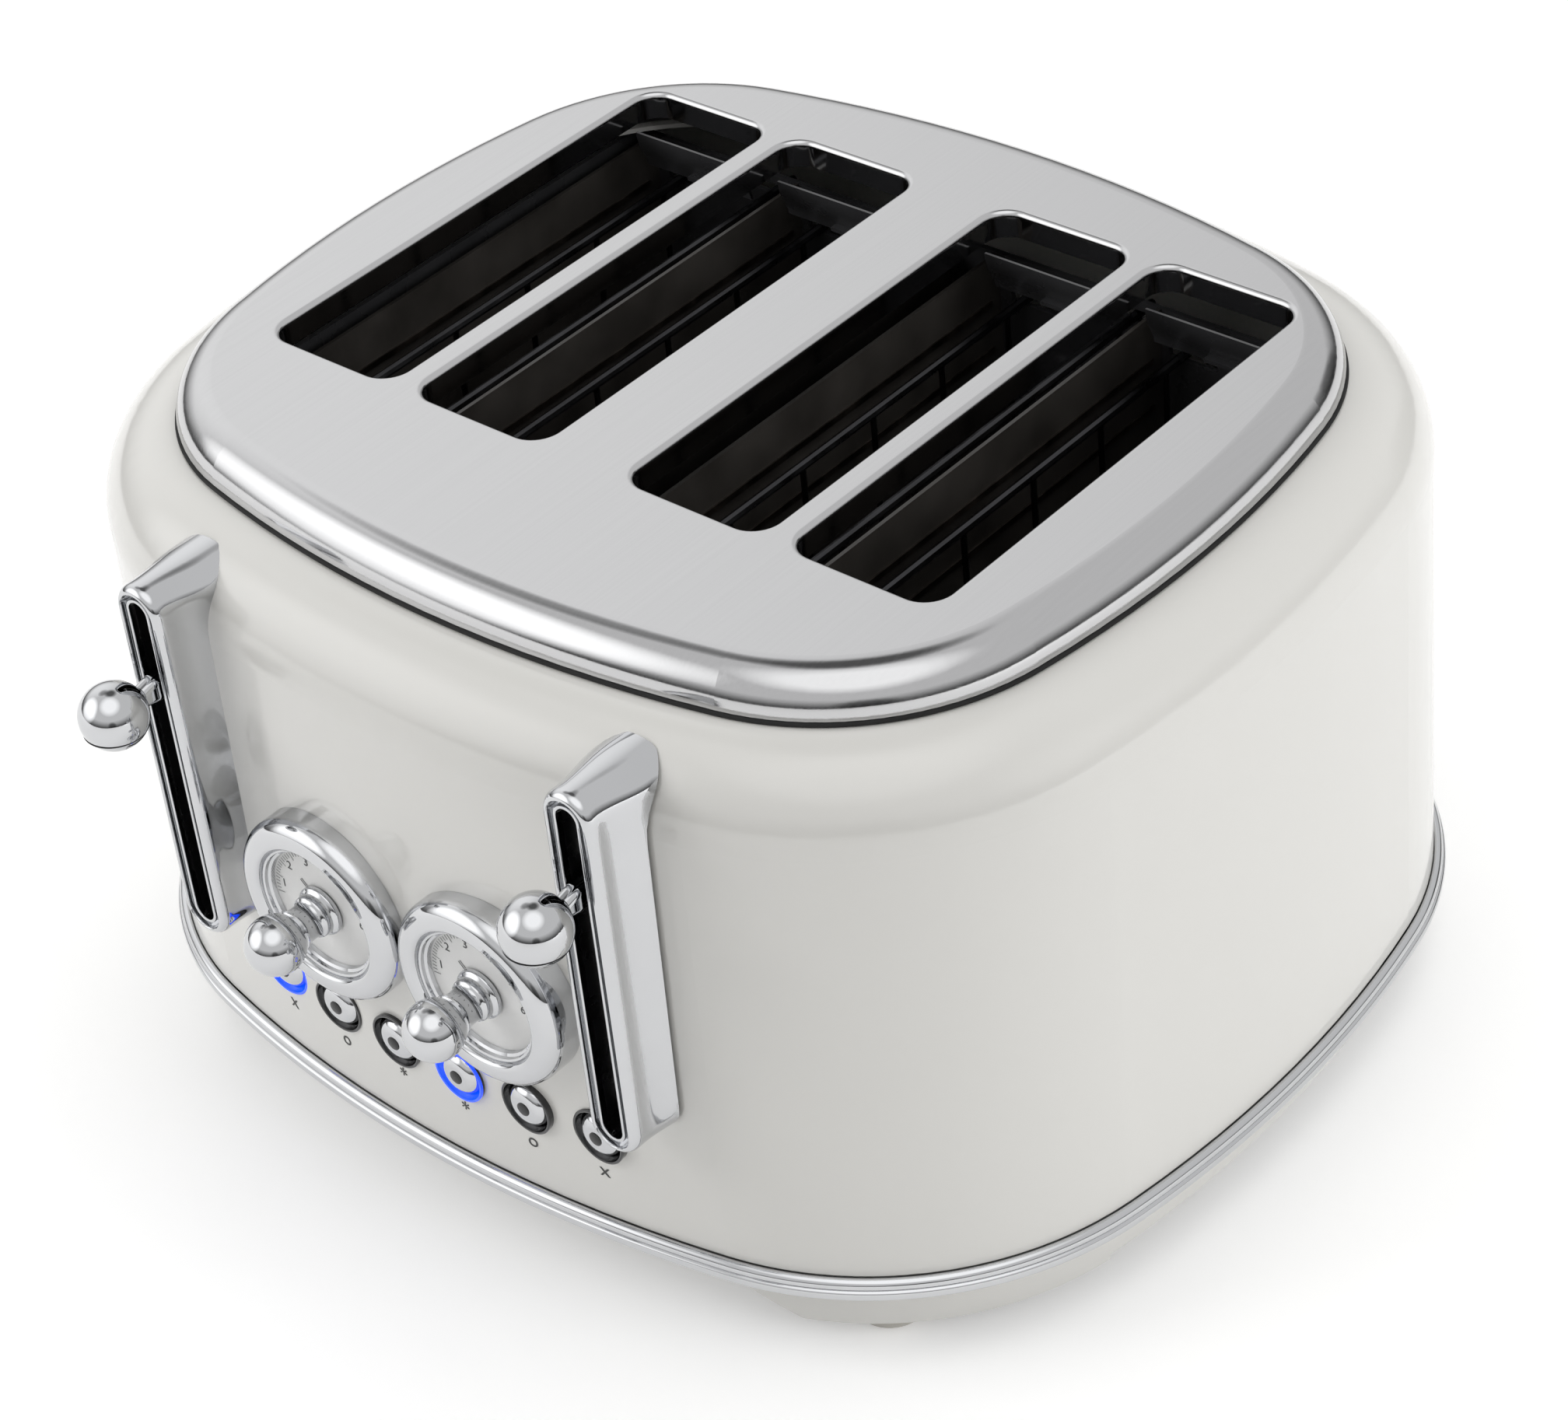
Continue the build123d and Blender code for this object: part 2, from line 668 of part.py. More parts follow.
# Lever bezels: chrome bars that stand out of the shell, slotted for the lever arm
for side, hand in sides:
    with BuildPart() as lever_bezel:
        bezel_back = panel_y(lever_x) + bezel_reach
        for y, width in ((bezel_back, bezel_width + 2 * bezel_flare), (body_y - lever_face, bezel_width)):
            with BuildSketch(facing(side * lever_x, y, (bezel_bottom + bezel_top) / 2)):
                SlotOverall(bezel_top - bezel_bottom, width, 90)
        loft()
        fillet(lever_bezel.faces().sort_by(Axis.Y)[0].edges(), bezel_edge)
        slot_middle = (lever_slot_bottom + lever_slot_top) / 2
        slot_run = lever_slot_top - lever_slot_bottom
        with BuildSketch(facing(side * lever_x, body_y - lever_face, slot_middle)):
            SlotOverall(slot_run + groove_width - lever_slot_width, groove_width, 90)
        extrude(amount=-groove_deep, mode=Mode.SUBTRACT)
        with BuildSketch(facing(side * lever_x, body_y - lever_face + groove_deep, slot_middle)):
            SlotOverall(slot_run + 2 * lip_wall, lever_slot_width + 2 * lip_wall, 90)
        extrude(amount=groove_deep - lip_deep)
        with BuildSketch(facing(side * lever_x, front_plate_y, slot_middle)):
            SlotOverall(slot_run, lever_slot_width, 90)
        extrude(amount=half_depth, mode=Mode.SUBTRACT)
        add(body_solid.part, mode=Mode.SUBTRACT)
    save(lever_bezel, f"lever_bezel_{hand}")

# Dials: a thick round bezel, a sunk face and a ball knob on its own shaft
for side, hand in sides:
    rim_y = panel_y(0) - dial_rim_out
    face_y = rim_y + dial_face_sunk
    pot_y = circuit_y - circuit_sheet - pot_depth
    with BuildPart() as dial_bezel:
        with BuildSketch(facing(side * dial_x, front_plate_y, dial_height)):
            Circle(dial_radius)
        extrude(amount=front_plate_y - rim_y)
        with BuildSketch(facing(side * dial_x, rim_y, dial_height)):
            Circle(dial_inner)
        extrude(amount=-(front_plate_y - rim_y), mode=Mode.SUBTRACT)
        rim_edges = dial_bezel.faces().sort_by(Axis.Y)[0].edges().sort_by(SortBy.RADIUS)
        fillet(rim_edges[-1], dial_round_out)
        rim_edges = dial_bezel.faces().sort_by(Axis.Y)[0].edges().sort_by(SortBy.RADIUS)
        fillet(rim_edges[0], dial_round_in)
        add(body_solid.part, mode=Mode.SUBTRACT)
    save(dial_bezel, f"dial_bezel_{hand}")

    with BuildPart() as dial_face:
        with BuildSketch(facing(side * dial_x, face_y, dial_height)):
            Circle(dial_inner)
            Circle(shaft_radius + free_gap, mode=Mode.SUBTRACT)
        extrude(amount=-dial_face_sheet)
    save(dial_face, f"dial_face_{hand}")

    with BuildPart() as dial_knob:
        ball_y = panel_y(0) - knob_out
        base_end = slide_gap + knob_base_sheet
        step_end = base_end + knob_step_sheet
        with BuildSketch(facing(side * dial_x, face_y, dial_height)):
            Circle(shaft_radius)
        extrude(amount=-(pot_y + pot_depth / 2 - face_y))
        for radius, start, end in (
            (shaft_radius, 0, slide_gap),
            (knob_base, slide_gap, base_end),
            (knob_step, base_end, step_end),
            (knob_neck, step_end, face_y - ball_y),
        ):
            with BuildSketch(facing(side * dial_x, face_y - start, dial_height)):
                Circle(radius)
            extrude(amount=end - start)
        with Locations((side * dial_x, ball_y, dial_height)):
            Sphere(knob_ball)
    save(dial_knob, f"dial_knob_{hand}")

    with BuildPart() as potentiometer:
        with BuildSketch(facing(side * dial_x, circuit_y - circuit_sheet, dial_height)):
            Circle(pot_radius)
            Circle(shaft_radius + running, mode=Mode.SUBTRACT)
        extrude(amount=pot_depth)
    save(potentiometer, f"potentiometer_{hand}")

# Buttons with their sunk rings and glowing collars
for number, x in enumerate(button_places, start=1):
    with BuildPart() as button:
        back_y = panel_y(x) + button_deep
        stem_end = circuit_y - circuit_sheet - switch_depth - free_gap - button_press
        with BuildSketch(facing(x, back_y, button_height)):
            Circle(button_radius)
        extrude(amount=button_deep + button_proud)
        fillet(button.faces().sort_by(Axis.Y)[0].edges(), button_round)
        with BuildSketch(facing(x, back_y, button_height)):
            Circle(button_stem)
        extrude(amount=back_y - stem_end)
    save(button, f"button_{number}")

with BuildPart() as button_rings:
    for x in button_places:
        with BuildSketch(facing(x, panel_y(x) + button_deep, button_height)):
            Circle(button_ring)
            Circle(button_bore, mode=Mode.SUBTRACT)
        extrude(amount=button_deep + button_lip)
save(button_rings, "button_rings")

with BuildPart() as glow_rings:
    for x in button_places:
        with BuildSketch(facing(x, panel_y(x) + button_deep, button_height)):
            Circle(button_bore)
            Circle(button_bore - glow_wall, mode=Mode.SUBTRACT)
        extrude(amount=button_deep - glow_sunk)
save(glow_rings, "glow_rings")

# Control board on its posts, with a switch behind each button
with BuildPart() as control_board:
    with BuildSketch(facing(0, circuit_y, 0)):
        with Locations((0, (circuit_bottom + circuit_top) / 2)):
            Rectangle(2 * circuit_half, circuit_top - circuit_bottom)
        with Locations((-dial_x, dial_height), (dial_x, dial_height)):
            Circle(shaft_radius + free_gap, mode=Mode.SUBTRACT)
    extrude(amount=circuit_sheet)
    for x in button_places:
        with BuildSketch(facing(x, circuit_y - circuit_sheet, button_height)):
            Rectangle(switch_size, switch_size)
        extrude(amount=switch_depth)
save(control_board, "control_board")

# Crumb trays that pull out at the back; the pull follows the shell's curve
for side, hand in sides:
    with BuildPart() as crumb_tray:
        tray_length = 2 * half_depth
        tray_middle = front_plate_y + swing_gap - body_y + tray_length / 2
        with BuildSketch(level(tray_bottom)):
            body_outline(-tray_pull)
            with Locations((side * pair_centre, tray_middle)):
                Rectangle(2 * tray_half, tray_length, mode=Mode.INTERSECT)
        extrude(amount=tray_wall)
        with BuildSketch(level(tray_bottom + tray_sheet)):
            body_outline(tray_grip)
            with Locations((side * pair_centre, tray_middle + tray_sheet)):
                Rectangle(2 * (tray_half - tray_sheet), tray_length, mode=Mode.INTERSECT)
        extrude(amount=tray_wall, mode=Mode.SUBTRACT)
    save(crumb_tray, f"crumb_tray_{hand}")

# Bushing where the cord would enter at the back
with BuildPart() as cord_inlet:
    with BuildSketch(facing(0, body_y + half_depth + inlet_sheet, inlet_height)):
        Circle(inlet_flange)
    extrude(amount=inlet_sheet)
    with BuildSketch(facing(0, body_y + half_depth, inlet_height)):
        Circle(inlet_radius)
    extrude(amount=inlet_flange)
    with BuildSketch(facing(0, body_y + half_depth + inlet_sheet, inlet_height)):
        Circle(inlet_bore)
    extrude(amount=inlet_sheet + inlet_flange, mode=Mode.SUBTRACT)
save(cord_inlet, "cord_inlet")
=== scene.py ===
import math
import bmesh
import bpy
from mathutils import Matrix, Vector


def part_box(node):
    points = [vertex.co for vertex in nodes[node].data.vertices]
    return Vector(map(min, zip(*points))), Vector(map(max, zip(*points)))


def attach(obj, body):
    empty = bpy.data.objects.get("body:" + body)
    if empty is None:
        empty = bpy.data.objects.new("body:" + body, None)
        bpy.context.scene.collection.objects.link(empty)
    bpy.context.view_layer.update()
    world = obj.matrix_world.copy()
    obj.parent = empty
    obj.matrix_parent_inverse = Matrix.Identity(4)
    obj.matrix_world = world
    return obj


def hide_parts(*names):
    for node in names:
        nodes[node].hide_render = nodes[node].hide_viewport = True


# Pop up toaster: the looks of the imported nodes, and the finer pieces that ride on their bodies.
# The frame is in metres. The sizes of pieces are in millimetres, which MM turns into metres where a mesh
# is made. The camera, the lamps and the floor are in metres.

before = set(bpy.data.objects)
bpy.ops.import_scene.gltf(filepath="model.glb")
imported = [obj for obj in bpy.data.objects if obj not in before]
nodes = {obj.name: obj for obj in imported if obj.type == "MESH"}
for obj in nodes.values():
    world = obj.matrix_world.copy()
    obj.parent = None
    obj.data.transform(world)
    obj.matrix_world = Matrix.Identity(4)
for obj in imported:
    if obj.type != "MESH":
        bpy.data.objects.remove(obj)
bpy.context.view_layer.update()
scene = bpy.context.scene
MM = 0.001
HANDS = ("left", "right")


# Materials

# The middle stretch of a noise, over which a colour or a gloss runs from its low to its high value
NOISE_LOW, NOISE_HIGH = 0.3, 0.7
DRIFT_DETAIL, RELIEF_DETAIL = 6.0, 3.0
RELIEF_DEPTH = 0.4
LEAST_ROUGH = 0.02


def linear(r, g, b):
    """A colour given as 0 to 255 on a screen, as the shader's linear numbers."""
    def one(c):
        c = c / 255
        return c / 12.92 if c <= 0.04045 else ((c + 0.055) / 1.055) ** 2.4
    return one(r), one(g), one(b), 1.0


def scaled(colour, share):
    """A colour made darker or lighter by a share."""
    return tuple(min(1.0, c * share) for c in colour[:3]) + (1.0,)


def add_node(tree, kind, inputs, operation=None):
    """Add a shader node. An input that is given a socket is linked to it, and any other is set."""
    node = tree.nodes.new(kind)
    if operation:
        node.operation = operation
    for place, value in inputs.items():
        if isinstance(value, bpy.types.NodeSocket):
            tree.links.new(value, node.inputs[place])
        else:
            node.inputs[place].default_value = value
    return node


def add_range(tree, value, start, end, low, high):
    """Add a node whose result runs from low to high as a value runs from start to end."""
    node = add_node(tree, "ShaderNodeMapRange", {
        "Value": value, "From Min": start, "From Max": end, "To Min": low, "To Max": high})
    return node.outputs["Result"]


def surface(name, colour, rough, metal=0.0, vary=0.06, grain=60.0, stretch=(1, 1, 1), rough_vary=0.06,
            bump=0.05, bump_grain=900.0, bump_stretch=(1, 1, 1), coat=0.0, coat_rough=0.04, specular=0.5,
            anisotropic=0.0, emission=None, glow=0.0):
    """A material whose colour and gloss drift with one noise, and whose fine relief comes from another."""
    mat = bpy.data.materials.new(name)
    mat.use_nodes = True
    tree = mat.node_tree
    place = add_node(tree, "ShaderNodeTexCoord", {}).outputs["Object"]

    wide = add_node(tree, "ShaderNodeMapping", {"Vector": place, "Scale": stretch})
    drift = add_node(tree, "ShaderNodeTexNoise", {
        "Vector": wide.outputs["Vector"], "Scale": grain, "Detail": DRIFT_DETAIL}).outputs["Fac"]
    tint = add_node(tree, "ShaderNodeValToRGB", {"Fac": drift})
    low, high = tint.color_ramp.elements
    low.position, high.position = NOISE_LOW, NOISE_HIGH
    low.color, high.color = scaled(colour, 1 - vary), scaled(colour, 1 + vary)
    gloss = add_range(tree, drift, NOISE_LOW, NOISE_HIGH,
                      max(LEAST_ROUGH, rough - rough_vary), min(1.0, rough + rough_vary))

    near = add_node(tree, "ShaderNodeMapping", {"Vector": place, "Scale": bump_stretch})
    fine = add_node(tree, "ShaderNodeTexNoise", {
        "Vector": near.outputs["Vector"], "Scale": bump_grain, "Detail": RELIEF_DETAIL})
    relief = add_node(tree, "ShaderNodeBump", {
        "Height": fine.outputs["Fac"], "Strength": bump, "Distance": RELIEF_DEPTH * MM})

    shader = tree.nodes["Principled BSDF"]
    tree.links.new(tint.outputs["Color"], shader.inputs["Base Color"])
    tree.links.new(gloss, shader.inputs["Roughness"])
    tree.links.new(relief.outputs["Normal"], shader.inputs["Normal"])
    shader.inputs["Metallic"].default_value = metal
    shader.inputs["Coat Weight"].default_value = coat
    shader.inputs["Coat Roughness"].default_value = coat_rough
    shader.inputs["Specular IOR Level"].default_value = specular
    shader.inputs["Anisotropic"].default_value = anisotropic
    if emission:
        shader.inputs["Emission Color"].default_value = emission
        shader.inputs["Emission Strength"].default_value = glow
    return mat


CREAM = linear(229, 228, 224)
paint = surface("cream_paint", CREAM, 0.22, vary=0.012, grain=9.0, rough_vary=0.03, bump=0.02,
                bump_grain=420.0, coat=0.6, coat_rough=0.03)
skirt_paint = surface("cream_skirt", CREAM, 0.30, vary=0.012, grain=11.0, rough_vary=0.04, bump=0.03,
                      bump_grain=600.0, coat=0.25, coat_rough=0.08)
chrome = surface("chrome", linear(200, 201, 203), 0.045, metal=1.0, vary=0.02, grain=35.0, rough_vary=0.02,
                 bump=0.003, bump_grain=200.0)
brushed = surface("brushed_steel", linear(194, 194, 195), 0.10, metal=1.0, vary=0.014, grain=1.0,
                  stretch=(1300, 10, 1300), rough_vary=0.03, bump=0.010, bump_grain=1.0,
                  bump_stretch=(2400, 16, 2400), anisotropic=0.3)
satin_steel = surface("satin_steel", linear(196, 197, 198), 0.34, metal=1.0, vary=0.05, grain=1.0,
                      stretch=(20, 900, 900), rough_vary=0.06, bump=0.03, bump_grain=1.0,
                      bump_stretch=(30, 1800, 1800))
enamel = surface("black_sheet", linear(64, 64, 66), 0.28, vary=0.2, grain=45.0, rough_vary=0.08, bump=0.05,
                 bump_grain=700.0, coat=0.15, coat_rough=0.2)
mica = surface("mica", linear(62, 59, 56), 0.45, vary=0.3, grain=55.0, rough_vary=0.12, bump=0.15,
               bump_grain=380.0)
ribbon = surface("heating_ribbon", linear(92, 84, 78), 0.45, metal=1.0, vary=0.3, grain=160.0, rough_vary=0.1)
wire = surface("dark_wire", linear(70, 70, 72), 0.32, metal=1.0, vary=0.25, grain=120.0, rough_vary=0.1,
               bump=0.06)
zinc = surface("zinc", linear(172, 176, 178), 0.36, metal=1.0, vary=0.08, grain=220.0, rough_vary=0.08,
               bump=0.05)
rubber = surface("black_rubber", linear(18, 18, 18), 0.7, vary=0.2, grain=150.0, rough_vary=0.08, bump=0.15)
foot_rubber = surface("pale_rubber", linear(206, 203, 196), 0.55, vary=0.04, grain=120.0, bump=0.1)
black = surface("black_plastic", linear(14, 14, 15), 0.28, vary=0.2, grain=140.0, rough_vary=0.06, bump=0.04)
ink = surface("grey_ink", linear(78, 79, 80), 0.5, vary=0.08, grain=400.0, bump=0.02)
symbol_ink = surface("dark_ink", linear(58, 58, 58), 0.5, vary=0.08, grain=400.0, bump=0.02)
dial_paper = surface("dial_face", linear(238, 238, 237), 0.35, vary=0.02, grain=90.0, rough_vary=0.06,
                     bump=0.03, bump_grain=1600.0, coat=0.3, coat_rough=0.05)
smoke = surface("smoked_ring", linear(44, 44, 45), 0.14, metal=0.6, vary=0.12, grain=120.0, rough_vary=0.05,
                coat=0.6, coat_rough=0.04)
blue_glow = surface("blue_glow", linear(12, 66, 250), 0.22, vary=0.12, grain=160.0, coat=0.4,
                    emission=linear(8, 70, 255), glow=1.1)
green_board = surface("circuit_board", linear(32, 84, 52), 0.42, vary=0.18, grain=90.0, coat=0.3)
coil_wire = surface("coil", linear(150, 84, 52), 0.38, metal=0.8, vary=0.2, grain=1.0, stretch=(20, 20, 1800),
                    bump=0.4, bump_grain=1.0, bump_stretch=(20, 20, 1800))

# Each node takes the first look whose name it starts with
LOOKS = (
    ("body_shell", paint), ("base_pan", skirt_paint), ("feet", foot_rubber), ("base_screws", zinc),
    ("seam_gasket", rubber), ("top_cap", brushed), ("trim_ring", chrome), ("front_plate", enamel),
    ("rear_plate", enamel), ("side_shield", enamel), ("heater_board", mica), ("heater_ribbons", ribbon),
    ("guards", wire), ("guide_rod", zinc), ("carriage", chrome), ("lever_knob", chrome), ("bread_rack", wire),
    ("return_spring", zinc), ("magnet", coil_wire), ("keeper", zinc), ("lever_bezel", chrome),
    ("dial_bezel", chrome), ("dial_face", dial_paper), ("dial_knob", chrome), ("potentiometer", black),
    ("button_rings", smoke), ("glow_rings", smoke), ("button_", chrome), ("control_board", green_board),
    ("crumb_tray", satin_steel), ("cord_inlet", black),
)
for name, node in nodes.items():
    look = next(mat for start, mat in LOOKS if name.startswith(start))
    node.data.materials.clear()
    node.data.materials.append(look)


# Mesh makers

WELD = 1e-6
SHARP_ANGLE = 38
TEXT_THICK = 0.03


def piece(name, bm, mat, body, smooth=True):
    """Turn a finished bmesh into a piece that rides on a body."""
    bmesh.ops.remove_doubles(bm, verts=bm.verts, dist=WELD)
    bmesh.ops.recalc_face_normals(bm, faces=bm.faces)
    mesh = bpy.data.meshes.new(name)
    bm.to_mesh(mesh)
    bm.free()
    mesh.materials.append(mat)
    obj = bpy.data.objects.new(name, mesh)
    scene.collection.objects.link(obj)
    if smooth:
        mesh.shade_smooth()
        mesh.set_sharp_from_angle(angle=math.radians(SHARP_ANGLE))
    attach(obj, body)
    return obj


def grid(bm, rings, closed_ring=True, closed_profile=False):
    """Join equal rings of points into faces."""
    rows = [[bm.verts.new(p) for p in ring] for ring in rings]
    count = len(rows[0])
    last = len(rows) if closed_profile else len(rows) - 1
    for i in range(last):
        a, b = rows[i], rows[(i + 1) % len(rows)]
        for j in range(count if closed_ring else count - 1):
            k = (j + 1) % count
            bm.faces.new((a[j], a[k], b[k], b[j]))


def lathe(bm, centre, profile, segments=72):
    """Turn a profile of (radius, distance forwards) about the line through the centre along -Y."""
    x, y, z = centre
    turns = [2 * math.pi * s / segments for s in range(segments)]
    grid(bm, [[(x + radius * MM * math.cos(t), y - out * MM, z + radius * MM * math.sin(t)) for t in turns]
              for radius, out in profile])


def add_text(bm, words, size, spot, turn=0.0):
    """Add a character's flat mesh, facing forwards and turned about the upright axis."""
    curve = bpy.data.curves.new("words", "FONT")
    curve.body = words
    curve.size = size * MM
    curve.align_x = "CENTER"
    curve.align_y = "CENTER"
    curve.extrude = TEXT_THICK * MM
    text = bpy.data.objects.new("words", curve)
    scene.collection.objects.link(text)
    bpy.context.view_layer.update()
    flat = bpy.data.meshes.new_from_object(text.evaluated_get(bpy.context.evaluated_depsgraph_get()))
    upright = Matrix.Rotation(math.pi / 2, 4, "X")
    flat.transform(Matrix.Translation(spot) @ Matrix.Rotation(turn, 4, "Z") @ upright)
    bm.from_mesh(flat)
    bpy.data.objects.remove(text)
    bpy.data.curves.remove(curve)
    bpy.data.meshes.remove(flat)


# The body's form, with the sizes of the part's source

HALF_WIDTH, HALF_DEPTH = 150.0, 133.0
SIDE_RADIUS, FRONT_RADIUS, CORNER_RADIUS = 316.0, 363.0, 84.0
SHELL_FOOT, SEAM_HEIGHT = 25.0, 163.3
WALL_LEAN, SHOULDER_RADIUS = 2.0, 20.0
ARC_STEPS, CORNER_STEPS = 40, 48

low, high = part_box("trim_ring")
middle_y = (low.y + high.y) / 2


def body_outline(inset, height):
    """Points round the body at a height, drawn in by the inset: four large arcs and four corner arcs."""
    side_x = HALF_WIDTH - SIDE_RADIUS
    front_y = FRONT_RADIUS - HALF_DEPTH
    reach_side = SIDE_RADIUS - CORNER_RADIUS
    reach_front = FRONT_RADIUS - CORNER_RADIUS
    span = math.hypot(side_x, front_y)
    along = (reach_side ** 2 - reach_front ** 2 + span ** 2) / (2 * span)
    aside = math.sqrt(reach_side ** 2 - along ** 2)
    ex, ey = -side_x / span, front_y / span
    corner = (side_x + ex * along + ey * aside, ey * along - ex * aside)
    turn_front = math.atan2(corner[1] - front_y, corner[0])
    turn_side = math.atan2(corner[1], corner[0] - side_x)
    quarter = []
    for centre, radius, start, end, count in (
            ((0, front_y), FRONT_RADIUS - inset, -math.pi / 2, turn_front, ARC_STEPS),
            (corner, CORNER_RADIUS - inset, turn_front, turn_side, CORNER_STEPS),
            ((side_x, 0), SIDE_RADIUS - inset, turn_side, 0, ARC_STEPS)):
        for step in range(count):
            turn = start + (end - start) * step / count
            quarter.append((centre[0] + radius * math.cos(turn), centre[1] + radius * math.sin(turn)))
    quarter.append((HALF_WIDTH - inset, 0.0))
    right = quarter + [(x, -y) for x, y in quarter[-2::-1]]
    left = [(-x, y) for x, y in right[-2:0:-1]]
    return [(x * MM, middle_y + y * MM, height * MM) for x, y in right + left]


def shell_inset(height):
    """How far in from the lower outline the painted wall lies at this height."""
    lean = WALL_LEAN * (height - SHELL_FOOT) / (SEAM_HEIGHT - SHELL_FOOT)
    over = min(SHOULDER_RADIUS, max(0.0, height - (SEAM_HEIGHT - SHOULDER_RADIUS)))
    return lean + SHOULDER_RADIUS - math.sqrt(SHOULDER_RADIUS ** 2 - over ** 2)


def sweep(name, profile, mat, closed_profile=False):
    """A piece of the housing that sweeps a profile of (inset, height) round the body's outline."""
    bm = bmesh.new()
    grid(bm, [body_outline(inset, height) for inset, height in profile], closed_profile=closed_profile)
    return piece(name, bm, mat, "housing")


def outward_arc(inset, height, radius, turns):
    """Profile points round a centre, at turns in degrees from straight up towards the outside."""
    angles = [math.radians(turn) for turn in turns]
    return [(inset - radius * math.sin(a), height + radius * math.cos(a)) for a in angles]


# Trim ring: a rounded bead over a thin groove and an upright band

TRIM_PROFILE = [(0.6, 24.3), (0.0, 24.6), (-0.6, 24.98)]
TRIM_PROFILE += outward_arc(-0.7, 23.3, 1.7, range(5, 91, 9))
TRIM_PROFILE += [(-2.4, 22.95), (-2.15, 22.75), (-2.15, 22.55), (-2.55, 22.4), (-2.9, 22.15), (-3.0, 21.85)]
TRIM_PROFILE += [(-3.0, 20.7)] + outward_arc(-2.5, 20.5, 0.5, range(105, 181, 25))
TRIM_PROFILE += [(-1.0, 20.0), (3.0, 20.0)]
bead = sweep("trim_bead", TRIM_PROFILE, chrome)
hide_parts("trim_ring")


# Dark lip of the gasket that shows in the seam under the cap, brought out to the cap's edge: its black is
# partly the real gasket and partly painted shade, standing in for the shadow in the gap

LIP_AND_SHADE_PROFILE = [(27.6, 163.35), (22.0, 163.35), (21.6, 163.5), (21.45, 163.9), (21.6, 164.3), (22.0, 164.45),
               (27.6, 164.45)]
# The black rubber band is partly painted shade: it fills the seam where the gap itself would show a shaded
# cream flange
lip_and_shade = sweep("seam_lip_and_shade", LIP_AND_SHADE_PROFILE, rubber, closed_profile=True)
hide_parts("seam_gasket")


# Dials: a stepped chrome ring inside the bezel, printed marks and a turned knob

# The step's profile, with radii counted from the face's own
STEP_PROFILE = ((0.1, 0.0), (0.1, 2.1), (-0.4, 2.5), (-0.9, 2.3), (-1.1, 1.5), (-1.7, 1.1), (-1.9, 0.05))
PRINT_PROUD = 0.06
TICK_COUNT, TICK_START, TICK_STEP = 22, 186, 4.1
TICK_LONG, TICK_SHORT, TICK_HALF, TICK_INSET, TICKS_TO_LONG = 2.2, 1.3, 0.09, 2.3, 5
POINTER_TURN, POINTER_REACH, POINTER_LENGTH, POINTER_HALF, POINTER_ASIDE = 135, 8.6, 2.2, 0.14, 0.35
NUMBER_COUNT, NUMBER_START, NUMBER_STEP = 6, 172, 33.7
NUMBER_REACH, NUMBER_SIZE = 12.6, 3.3
KNOB_PROFILE = ((6.0, 0.2), (6.35, 0.45), (6.4, 1.3), (6.2, 1.75), (5.75, 2.0), (5.45, 2.35), (5.4, 3.9),
                (5.2, 4.3), (4.8, 4.55), (4.62, 5.0), (4.5, 6.0), (4.5, 7.2), (4.65, 8.2), (4.95, 9.0),
                (5.25, 9.5), (5.2, 9.9))
KNOB_BALL, KNOB_NECK, KNOB_TIP = 7.3, 4.95, 0.01
BALL_STEPS = 24


def add_mark(bm, middle, turn, reach, length, half, aside=0.0):
    """Add a flat printed bar that runs from its reach towards the middle, at a turn in degrees."""
    angle = math.radians(turn)
    along = Vector((math.cos(angle), 0, math.sin(angle)))
    across = Vector((-math.sin(angle), 0, math.cos(angle)))
    start = middle + along * reach * MM + across * aside * MM
    end = start - along * length * MM
    wide = across * half * MM
    bm.faces.new([bm.verts.new(p) for p in (start + wide, start - wide, end - wide, end + wide)])


def dress_dial(hand):
    """Make a dial's step, marks and knob."""
    low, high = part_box(f"dial_bezel_{hand}")
    face_low, face_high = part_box(f"dial_face_{hand}")
    mid = (low + high) / 2
    face = Vector((mid.x, face_low.y, mid.z))
    face_radius = (face_high.x - face_low.x) / 2 / MM

    bm = bmesh.new()
    lathe(bm, face, [(face_radius + wider, out) for wider, out in STEP_PROFILE])
    piece(f"dial_step_{hand}", bm, chrome, "housing")

    bm = bmesh.new()
    printed = face - Vector((0, PRINT_PROUD * MM, 0))
    for tick in range(TICK_COUNT):
        length = TICK_SHORT if tick % TICKS_TO_LONG else TICK_LONG
        add_mark(bm, printed, TICK_START - tick * TICK_STEP, face_radius - TICK_INSET, length, TICK_HALF)
    for aside in (-POINTER_ASIDE, POINTER_ASIDE):
        add_mark(bm, printed, POINTER_TURN, POINTER_REACH, POINTER_LENGTH, POINTER_HALF, aside)
    for number in range(NUMBER_COUNT):
        angle = math.radians(NUMBER_START - number * NUMBER_STEP)
        spot = printed + Vector((math.cos(angle), 0, math.sin(angle))) * NUMBER_REACH * MM
        add_text(bm, str(number + 1), NUMBER_SIZE, spot)
    piece(f"dial_marks_{hand}", bm, ink, "housing", smooth=False)

    low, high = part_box(f"dial_knob_{hand}")
    ball_out = (face.y - low.y) / MM - KNOB_BALL
    profile = list(KNOB_PROFILE)
    start = math.asin(KNOB_NECK / KNOB_BALL)
    for step in range(BALL_STEPS + 1):
        turn = start + (math.pi - start) * step / BALL_STEPS
        profile.append((max(KNOB_TIP, KNOB_BALL * math.sin(turn)), ball_out - KNOB_BALL * math.cos(turn)))
    bm = bmesh.new()
    lathe(bm, face, profile)
    handle = piece(f"dial_handle_{hand}", bm, chrome, f"dial_{hand}")
    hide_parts(f"dial_knob_{hand}")


# Levers: a flared chrome bar with a grooved face, a dark lining in its slot and a seam round the ball

BAR_HALF, BAR_FACE = 7.0, 2.6
